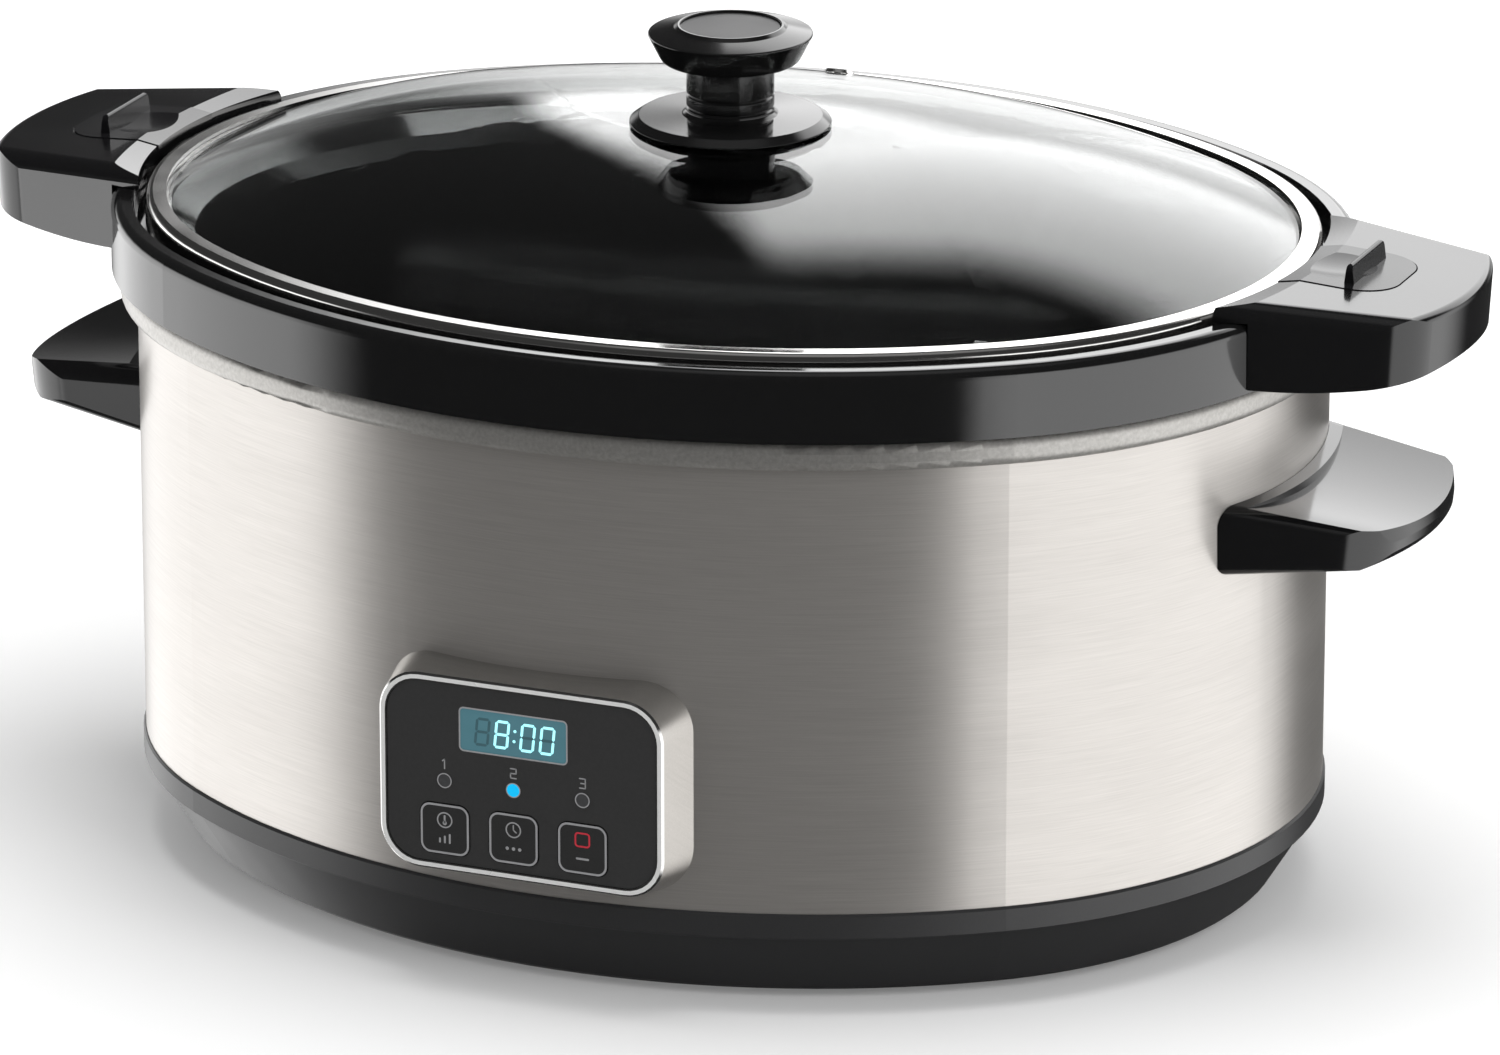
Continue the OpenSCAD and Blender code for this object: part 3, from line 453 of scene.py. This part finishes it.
PRINT_T = 0.05 * MM             # the thickness of what is printed
PRINT_LIFT = PRINT_T * 0.8      # how far most of it stands out; the rest is sunk
LIT_LIFT = PRINT_T * 0.5        # the same for the lit lamp, under its rim's print
MERGE = 1e-7                    # metres within which points are one
SHARP_ANGLE = math.radians(30)


def add_piece(name, made, material, body, smooth=False):
    """Turns a closed bmesh into a piece that rides on a body."""
    bmesh.ops.recalc_face_normals(made, faces=made.faces)
    mesh = bpy.data.meshes.new(name)
    made.to_mesh(mesh)
    made.free()
    if smooth:
        mesh.shade_smooth()
        mesh.set_sharp_from_angle(angle=SHARP_ANGLE)
    mesh.materials.append(material)
    piece = add_object(name, mesh)
    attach(piece, body)
    return piece


def plate(name, polygons, middle, front_y, material, body):
    """Thin closed prisms from polygons in millimetres round middle, an X and a Z."""
    made = bmesh.new()
    for polygon in polygons:
        places = [(middle[0] + x * MM, middle[1] + z * MM) for x, z in polygon]
        front = [made.verts.new((x, front_y, z)) for x, z in places]
        back = [made.verts.new((x, front_y + PRINT_T, z)) for x, z in places]
        made.faces.new(front)
        made.faces.new(back[::-1])
        n = len(places)
        for i in range(n):
            made.faces.new((front[i], back[i], back[(i + 1) % n], front[(i + 1) % n]))
    bmesh.ops.remove_doubles(made, verts=made.verts, dist=MERGE)
    add_piece(name, made, material, body)


# ---- the panel's print, lamps and display --------------------------------------

# a LINE is a stroke's width, an R a corner's radius
LIP_R, LIP_LINE = 11.4, 1.2
FRAME_GAP, FRAME_R, FRAME_LINE = 0.25, 1.5, 0.45    # the GAP is from the display's edge
RIM_GAP, RIM_LINE = 0.12, 0.32      # the GAP is from the lamp's edge
LIT_MARGIN = 0.2                    # the rim of the lit lamp that stays dim
LEVEL_RISE = 4.9                    # from a lamp up to the middle of its numeral
LEVEL_H, LEVEL_W, LEVEL_LINE = 2.8, 1.7, 0.36
DIGIT_W, DIGIT_H, DIGIT_LINE = 3.7, 7.6, 0.78
DIGIT_GAP = 0.12                    # at a bar's ends, as a share of its width
DIGIT_Z = -0.2                      # the digits' middle, from the display's
DIGITS_SHOWN = ((-9.4, ""), (-3.5, "8"), (4.3, "0"), (10.2, "0"))   # X, and the digit
SEGMENTS = {"": "", "0": "abcdef", "8": "abcdefg"}
SLANT = 0.10                        # of the digits, X for each Z
COLON_X, COLON_RISE, COLON_R, COLON_STEPS = 0.35, 1.5, 0.45, 16


def front_of(node_name):
    """A node's front: its middle as an X and a Z, its width and height in mm, its Y."""
    low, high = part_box(node_name)
    return (((low.x + high.x) / 2, (low.z + high.z) / 2),
            (high.x - low.x) / MM, (high.z - low.z) / MM, low.y)


FASCIA_Y = front_of("panel_fascia")[-1]


def add_bezel_painted_highlight():
    """A pale line on the bezel's flat front edge, inside its outer chamfer: a painted
    highlight where the polished lip catches the light.
    """
    front_y = front_of("panel_bezel")[-1]
    edge = [v.co for v in nodes["panel_bezel"].data.vertices if v.co.y < front_y + PRINT_T]
    left, right = min(p.x for p in edge), max(p.x for p in edge)
    low, high = min(p.z for p in edge), max(p.z for p in edge)
    plate("bezel_lip_painted_highlight",
          rounded_ring(0, 0, (right - left) / MM, (high - low) / MM, LIP_R, LIP_LINE),
          ((left + right) / 2, (low + high) / 2), front_y - PRINT_LIFT, BEZEL_PAINTED_HIGHLIGHT,
          "base")


def add_display_frame():
    """A line round the display, printed on the fascia."""
    middle, width, height, _ = front_of("display_window")
    plate("display_frame",
          rounded_ring(0, 0, width + 2 * FRAME_GAP, height + 2 * FRAME_GAP, FRAME_R,
                       FRAME_LINE),
          middle, FASCIA_Y - PRINT_LIFT, PRINT, "base")


def numeral(text):
    """A plain numeral from straight strokes, for 1, 2 and 3."""
    right, top = LEVEL_W / 2, LEVEL_H / 2
    left, low = -right, -top
    flag_x, flag_z = -LEVEL_W * 0.35, top - LEVEL_H * 0.2
    strokes = {
        "1": [(0, low, 0, top), (0, top, flag_x, flag_z)],
        "2": [(left, top, right, top), (right, top, right, 0), (right, 0, left, 0),
              (left, 0, left, low), (left, low, right, low)],
        "3": [(left, top, right, top), (right, top, right, low), (left, low, right, low),
              (left + LEVEL_W * 0.2, 0, right, 0)],
    }[text]
    return [loop for stroke in strokes for loop in round_bar(*stroke, LEVEL_LINE)]


def add_lamp_marks():
    """The three lamps' rims, the middle one's light, and a numeral over each."""
    (x, z), width, height, front_y = front_of("indicator_lamps")
    radius = height / 2
    apart = width / 2 - radius
    plate("lamp_rims",
          [quad for cx in (-apart, 0, apart)
           for quad in round_ring(cx, 0, radius + RIM_GAP, RIM_LINE)],
          (x, z), front_y - PRINT_LIFT, PRINT, "base")
    plate("lamp_lit", disc(0, 0, radius - LIT_MARGIN), (x, z), front_y - LIT_LIFT,
          LENS_LIT, "base")
    for text, cx in zip("123", (-apart, 0, apart)):
        plate("level_" + text, numeral(text), (x + cx * MM, z + LEVEL_RISE * MM),
              FASCIA_Y - PRINT_LIFT, PRINT, "base")


def segment(ax, az, bx, bz, w):
    """One bar of a digit, pointed at both ends."""
    length = math.hypot(bx - ax, bz - az)
    ux, uz = (bx - ax) / length, (bz - az) / length
    gap = DIGIT_GAP * w
    ax, az, bx, bz = ax + ux * gap, az + uz * gap, bx - ux * gap, bz - uz * gap
    h = w / 2
    return [(ax, az), (ax + ux * h - uz * h, az + uz * h + ux * h),
            (bx - ux * h - uz * h, bz - uz * h + ux * h), (bx, bz),
            (bx - ux * h + uz * h, bz - uz * h - ux * h),
            (ax + ux * h + uz * h, az + uz * h - ux * h)]


def digit(cx, cz, lit):
    """The bars of one digit: those in lit, and the rest."""
    w, h = DIGIT_W / 2, DIGIT_H / 2
    ends = {"a": (-w, h, w, h), "b": (w, h, w, 0), "c": (w, 0, w, -h), "d": (-w, -h, w, -h),
            "e": (-w, -h, -w, 0), "f": (-w, 0, -w, h), "g": (-w, 0, w, 0)}
    on, off = [], []
    for key, bar_ends in ends.items():
        bar = [(cx + x + SLANT * z, cz + z) for x, z in segment(*bar_ends, DIGIT_LINE)]
        (on if key in lit else off).append(bar)
    return on, off


def add_display_time():
    """A plain time, with the digits' unlit bars faintly seen."""
    middle, _, _, front_y = front_of("display_window")
    lit_bars, dim_bars = [], []
    for x, shown in DIGITS_SHOWN:
        on, off = digit(x, DIGIT_Z, SEGMENTS[shown])
        lit_bars += on
        dim_bars += off
    for z in (-COLON_RISE, COLON_RISE):
        lit_bars += disc(COLON_X + SLANT * z, DIGIT_Z + z, COLON_R, COLON_STEPS)
    plate("display_digits", lit_bars, middle, front_y - PRINT_T, DIGITS,
          "base")
    plate("display_ghosts", dim_bars, middle, front_y - PRINT_T, GHOSTS,
          "base")


add_bezel_painted_highlight()
add_display_frame()
add_lamp_marks()
add_display_time()


# ---- the keys' signs -------------------------------------------------------------

KEY_GAP = 1.05              # from a key's side to the line on its face
KEY_R, KEY_LINE = 2.95, 0.6
ICON_Z = 2.7                # the middle of a key's sign, over the key's own middle
ICON_RING = round_ring(0, ICON_Z, 2.35, 0.38)
THERMOMETER = disc(0, ICON_Z - 0.85, 0.62) + round_bar(0, ICON_Z - 0.7, 0, ICON_Z + 1.2, 0.55)
RISING_BARS = [loop for x, height in ((-1.5, 1.0), (0, 1.7), (1.5, 2.4))
               for loop in round_bar(x, -3.9, x, -3.9 + height, 0.55)]
CLOCK_HANDS = (round_bar(0, ICON_Z, 0, ICON_Z + 1.35, 0.36)
               + round_bar(0, ICON_Z, 0.85, ICON_Z - 0.7, 0.36))
THREE_DOTS = [loop for x in (-1.9, 0, 1.9) for loop in disc(x, -2.9, 0.5)]
DASH = round_bar(-1.7, -2.9, 1.7, -2.9, 0.6)
STOP_FRAME = rounded_ring(0, ICON_Z, 4.7, 4.4, 1.1, 0.5)


def key_line(node_name):
    """The line round a key's face."""
    _, width, _, _ = front_of(node_name)
    side = width - 2 * KEY_GAP
    return rounded_ring(0, 0, side, side, KEY_R, KEY_LINE)


def add_key_print(name, node_name, polygons, material=PRINT):
    """Print on a key's face, that travels with the key."""
    middle, _, _, front_y = front_of(node_name)
    plate(name, polygons, middle, front_y - PRINT_LIFT, material, node_name)


add_key_print("temperature_mark", "temperature_key",
              key_line("temperature_key") + ICON_RING + THERMOMETER + RISING_BARS)
add_key_print("time_mark", "time_key",
              key_line("time_key") + ICON_RING + CLOCK_HANDS + THREE_DOTS)
add_key_print("stop_mark", "stop_key", key_line("stop_key") + DASH)
add_key_print("stop_symbol", "stop_key", STOP_FRAME, PRINT_RED)


# ---- the knob's turned pieces ----------------------------------------------------

ARC_STEPS = 6
TURN_STEPS = 128


def rounded_profile(corners):
    """Points along (radius, height, rounding) corners, each rounded by its own radius."""
    points = []
    for i, (r, z, rounding) in enumerate(corners):
        corner = Vector((r, z))
        if not rounding:
            points.append(corner)
            continue
        before = (Vector(corners[i - 1][:2]) - corner).normalized()
        after = (Vector(corners[i + 1][:2]) - corner).normalized()
        half = before.angle(after) / 2
        center = corner + (before + after).normalized() * rounding / math.sin(half)
        start = corner + before * rounding / math.tan(half) - center
        stop = corner + after * rounding / math.tan(half) - center
        # slerp gives unit vectors, which are scaled back to the radius
        points += [center + rounding * start.slerp(stop, k / ARC_STEPS)
                   for k in range(ARC_STEPS + 1)]
    return points


def turned(name, corners, base_z, material, body, node_name, closed=False):
    """A piece turned about Z from a profile in millimetres above base_z."""
    made = bmesh.new()
    rings = []
    for r, z in rounded_profile(corners):
        # a ring of points, or one point on the axis
        turns = [2 * math.pi * i / TURN_STEPS for i in range(TURN_STEPS if r else 1)]
        rings.append([made.verts.new((r * MM * math.cos(a), r * MM * math.sin(a),
                                      base_z + z * MM)) for a in turns])
    if closed:
        rings.append(rings[0])
    for ring, after in zip(rings, rings[1:]):
        for i in range(TURN_STEPS):
            quad = [ring[i % len(ring)], ring[(i + 1) % len(ring)],
                    after[(i + 1) % len(after)], after[i % len(after)]]
            # a triangle where two of its points are the one on the axis
            made.faces.new(list(dict.fromkeys(quad)))
    piece = add_piece(name, made, material, body, smooth=True)
    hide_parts(node_name)


knob_base_low, knob_base_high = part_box("knob_base")
knob_cap_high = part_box("knob_cap")[1]
BASE_R = knob_base_high.x / MM
CAP_R = knob_cap_high.x / MM
CAP_T = 10.6
STEM_R = 12.6
BORE_R = 2.2
STEM_GAP = 0.1              # between the stem's top and the cap
STEM_TOP = (knob_cap_high.z - knob_base_low.z) / MM - CAP_T - STEM_GAP
SEAL_R = 14.3               # the shallow hollow under the base, over the seal
DISC_R = 14.4               # the hollow in the cap's top that holds the disc
GROOVE_ZS = (5.2, 9.0)
GROOVE_HALF, GROOVE_DEPTH = 0.6, 0.5

stem_grooves = [
    corner for z in GROOVE_ZS
    for corner in ((STEM_R, z - GROOVE_HALF, 0.2), (STEM_R - GROOVE_DEPTH, z, 0.15),
                   (STEM_R, z + GROOVE_HALF, 0.2))]
# a thin disc with a bevelled edge, and a stem with two grooves
turned("knob_base_turned",
       [(BORE_R, 0.3, 0), (SEAL_R, 0.3, 0), (SEAL_R, 0.1, 0), (BASE_R - 1.5, 0, 0),
        (BASE_R, 0.5, 0.3), (BASE_R - 3, 2.6, 0.4), (STEM_R + 1, 3, 0.6), (STEM_R, 4, 0.6),
        *stem_grooves, (STEM_R, STEM_TOP, 0), (BORE_R, STEM_TOP, 0)],
       knob_base_low.z, KNOB_BLACK, "lid", "knob_base", closed=True)
# a tapered cap whose top rises to a ring round the disc
turned("knob_cap_turned",
       [(0, 0, 0), (19.6, 0, 2.2), (CAP_R, CAP_T - 2.4, 0.5), (16.2, CAP_T - 0.9, 0.8),
        (15.2, CAP_T, 0.35), (DISC_R, CAP_T, 0.3), (DISC_R, CAP_T - 1, 0), (0, CAP_T - 1, 0)],
       knob_cap_high.z - CAP_T * MM, KNOB_BLACK, "lid", "knob_cap")


# ---- floor --------------------------------------------------------------------

FLOOR_HALF = 8.0
FLOOR_COLOR = 0.85
FLOOR_GLOW_WITH_PAINTED_SHADE = (0.14, 0.45)           # near the object and far from it; the dimmer glow near it is painted shade
PAINTED_SHADE_REACH = (0.22, 0.60)     # metres from the origin, where the painted shade starts to fade and where it is gone


def make_floor():
    """A pale floor that reads as white and keeps the object's shadow, with painted shade too:
    its glow is dimmer near the object.
    """
    mesh = bpy.data.meshes.new("floor")
    corners = [(sx * FLOOR_HALF, sy * FLOOR_HALF, 0.0)
               for sx, sy in ((-1, -1), (1, -1), (1, 1), (-1, 1))]
    mesh.from_pydata(corners, [], [(0, 1, 2, 3)])
    floor = add_object("floor", mesh)
    material, shading, shader = new_material("floor_pale")
    path = shading.nodes.new("ShaderNodeLightPath")
    shown = shading.math("MAXIMUM", path.outputs["Is Camera Ray"],
                         path.outputs["Is Transmission Ray"])
    length = shading.nodes.new("ShaderNodeVectorMath")
    length.operation = "LENGTH"
    shading.feed(length, {0: shading.place()})
    # painted shade: the glow is dimmer near the object, so the floor round it reads darker
    glow = shading.smooth(length.outputs["Value"], *PAINTED_SHADE_REACH, *FLOOR_GLOW_WITH_PAINTED_SHADE)
    shading.feed(shader, {
        "Base Color": (FLOOR_COLOR,) * 3,
        "Roughness": 1.0,
        "Specular IOR Level": 0.0,
        "Emission Color": (1, 1, 1),
        "Emission Strength": shading.math("MULTIPLY", shown, glow),
    })
    mesh.materials.append(material)
    floor.visible_glossy = False


# ---- world ----------------------------------------------------------------------

# Soft boxes, for what reflects: their sides in degrees from the front (-Y) towards the
# right (+X), their heights in degrees above the horizon, and their strength. Each side and
# height says where the box starts, is full, starts to fade and ends.
SIDE_BOXES = [
    ((43, 50, 132, 158), (-50, -32, 2, 16), 1.65),
    ((-155, -125, -68, -50), (-50, -35, 2, 14), 1.75),
]
REAR_BOXES = [
    ((135, 150, 203.5, 206), (8, 14, 40, 52), 2.5),
    ((165, 190, 200, 209), (-14, -6, 8, 14), 1.15),
]
CEILING_LIFT = (60, 80)     # degrees where the box overhead starts and is full
CEILING = 0.2
BETWEEN_BOXES = 0.04
FILL = 0.55                 # for what scatters light


def make_world():
    """White to the eye; for what reflects, soft boxes round a dim front."""
    world = bpy.data.worlds.new("studio")
    bpy.context.scene.world = world
    world.use_nodes = True
    world.cycles.sampling_method = "NONE"
    shading = Shading(world.node_tree)

    def times(a, b):
        return shading.math("MULTIPLY", a, b)

    def plus(a, b):
        return shading.math("ADD", a, b)

    def window(value, a, b, c, d):
        """0 before a, 1 from b to c, 0 after d."""
        return times(shading.smooth(value, a, b), shading.smooth(value, c, d, 1.0, 0.0))

    def box(angle, sides, heights, strength):
        return times(times(window(angle, *sides), window(lift, *heights)), strength)

    axes = shading.axes("Generated")
    turn = shading.math("DEGREES", shading.math("ARCTAN2", axes["X"], times(axes["Y"], -1.0)))
    lift = shading.math("DEGREES", shading.math("ARCSINE", axes["Z"]))
    # the same turn counted from 0 to 360, for what lies behind
    full_turn = shading.math("MULTIPLY_ADD", shading.math("LESS_THAN", turn, 0.0), 360.0, turn)

    studio = BETWEEN_BOXES
    for numbers in SIDE_BOXES:
        studio = plus(box(turn, *numbers), studio)
    for numbers in REAR_BOXES:
        studio = plus(box(full_turn, *numbers), studio)
    studio = plus(times(shading.smooth(lift, *CEILING_LIFT), CEILING), studio)

    path = shading.nodes.new("ShaderNodeLightPath")
    # what the glass mirrors from its inner face comes out upward
    through = path.outputs["Is Transmission Ray"]
    upward = times(shading.math("GREATER_THAN", lift, 0.0), through)
    seen = shading.math("MAXIMUM", path.outputs["Is Camera Ray"],
                        shading.math("SUBTRACT", through, upward))
    mirrored = shading.math("MAXIMUM", path.outputs["Is Glossy Ray"], upward)
    fill = times(shading.math("SUBTRACT", 1.0, mirrored), FILL)
    shading.feed(shading.nodes["Background"], {
        "Color": (1, 1, 1),
        "Strength": shading.math("MAXIMUM", seen, plus(times(mirrored, studio), fill)),
    })


# ---- lamps ------------------------------------------------------------------------

LAMP_AIM = Vector((0, 0, 0.1))
CARD_PLACE = (-0.435, -0.258, 0.045)
CARD_SIZE = 0.13


def soft_lamp(name, location, size, power):
    """A square soft lamp aimed at the object, that doesn't show in reflections."""
    data = bpy.data.lights.new(name, "AREA")
    data.shape = "SQUARE"
    data.size = size
    data.energy = power
    lamp = add_object(name, data)
    lamp.location = location
    lamp.rotation_euler = (Vector(location) - LAMP_AIM).to_track_quat("Z", "Y").to_euler()
    lamp.visible_glossy = False
    return lamp


def sheen_card(name, power, node_name):
    """A small card that only shows as a reflection, in one node alone."""
    card = soft_lamp(name, CARD_PLACE, CARD_SIZE, power)
    card.visible_glossy = True
    card.visible_diffuse = False
    card.visible_transmission = False
    card.visible_camera = False
    receivers = bpy.data.collections.new(name + "_receivers")
    receivers.objects.link(nodes[node_name])
    card.light_linking.receiver_collection = receivers


make_floor()
make_world()
soft_lamp("lamp_top", (0.1, 0.1, 2.4), size=1.6, power=34)
soft_lamp("lamp_right", (2.0, -1.0, 1.4), size=1.2, power=14)
sheen_card("card_grip", 0.16, "grip_left")
sheen_card("card_handle", 0.06, "body_handle_left")
